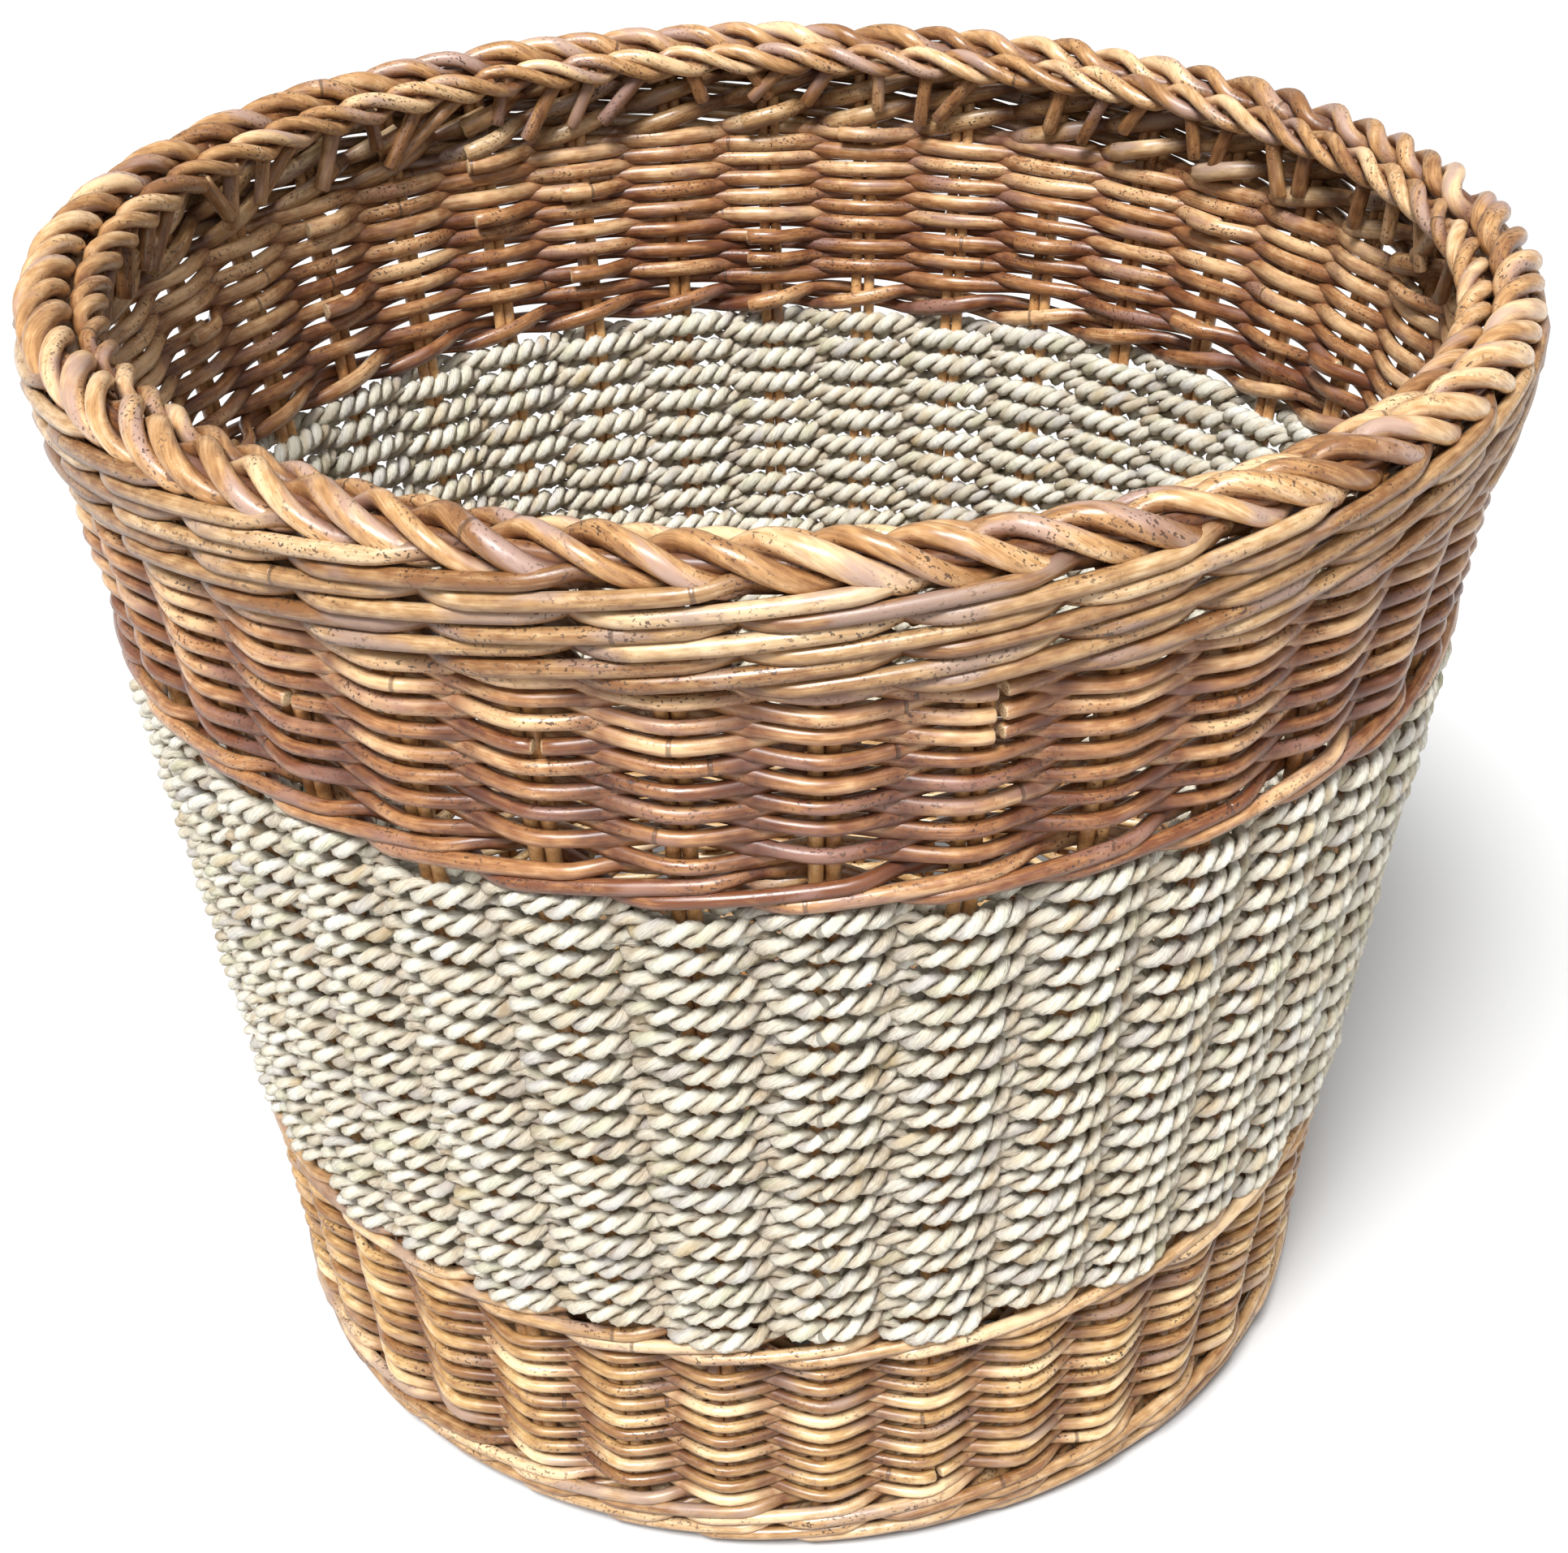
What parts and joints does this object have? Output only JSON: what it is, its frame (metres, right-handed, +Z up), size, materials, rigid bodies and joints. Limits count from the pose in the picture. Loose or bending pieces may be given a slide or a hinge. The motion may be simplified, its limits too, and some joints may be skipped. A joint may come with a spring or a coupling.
{
  "type": "woven laundry basket",
  "caption": "Round tapered open laundry basket woven in rattan with a wide seagrass rope band, rolled border and woven base.",
  "frame": {"origin": "centre of the basket's footprint, on the floor", "axes": "+Z up along the basket's axis, -Y towards the front of the view, +X to its right"},
  "size_m": [0.5142, 0.5142, 0.43],
  "materials": {
    "rattan_weave": "natural unpeeled rattan, satin, honey to mauve-brown",
    "rattan_upper": "natural unpeeled rattan, satin, redder brown",
    "rattan_wale": "thicker honey rattan, satin, dark node rings and specks",
    "rattan_border": "thick honey rattan, satin, pale cut ends",
    "rattan_stake": "orange-brown rattan rods, satin",
    "rattan_base": "brown rattan, matt",
    "seagrass_rope": "cream two-ply seagrass rope, dry and fibrous"
  },
  "bodies": {
    "root": {"foot_wale": "rattan_wale", "lower_weave": "rattan_weave", "lower_wale": "rattan_wale", "seagrass_weave": "seagrass_rope", "middle_wale": "rattan_wale", "upper_weave": "rattan_upper", "top_wale": "rattan_wale", "rolled_border": "rattan_border", "inner_braid": "rattan_border", "base_weave": "rattan_base", "base_stick_1": "rattan_base", "base_stick_2": "rattan_base", "base_stick_3": "rattan_base", "base_stick_4": "rattan_base", "base_stick_5": "rattan_base", "base_stick_6": "rattan_base", "base_stick_7": "rattan_base", "base_stick_8": "rattan_base", "base_stick_9": "rattan_base", "stake_pair_01": "rattan_stake", "stake_pair_02": "rattan_stake", "stake_pair_03": "rattan_stake", "stake_pair_04": "rattan_stake", "stake_pair_05": "rattan_stake", "stake_pair_06": "rattan_stake", "stake_pair_07": "rattan_stake", "stake_pair_08": "rattan_stake", "stake_pair_09": "rattan_stake", "stake_pair_10": "rattan_stake", "stake_pair_11": "rattan_stake", "stake_pair_12": "rattan_stake", "stake_pair_13": "rattan_stake", "stake_pair_14": "rattan_stake", "stake_pair_15": "rattan_stake", "stake_pair_16": "rattan_stake", "stake_pair_17": "rattan_stake", "stake_pair_18": "rattan_stake", "stake_pair_19": "rattan_stake", "stake_pair_20": "rattan_stake", "stake_pair_21": "rattan_stake", "stake_pair_22": "rattan_stake", "stake_pair_23": "rattan_stake", "stake_pair_24": "rattan_stake", "stake_pair_25": "rattan_stake", "stake_pair_26": "rattan_stake", "stake_pair_27": "rattan_stake", "stake_pair_28": "rattan_stake", "stake_pair_29": "rattan_stake", "stake_pair_30": "rattan_stake", "stake_pair_31": "rattan_stake", "stake_pair_32": "rattan_stake", "stake_pair_33": "rattan_stake", "stake_pair_34": "rattan_stake", "stake_pair_35": "rattan_stake", "stake_pair_36": "rattan_stake"}
  },
  "joints": []
}
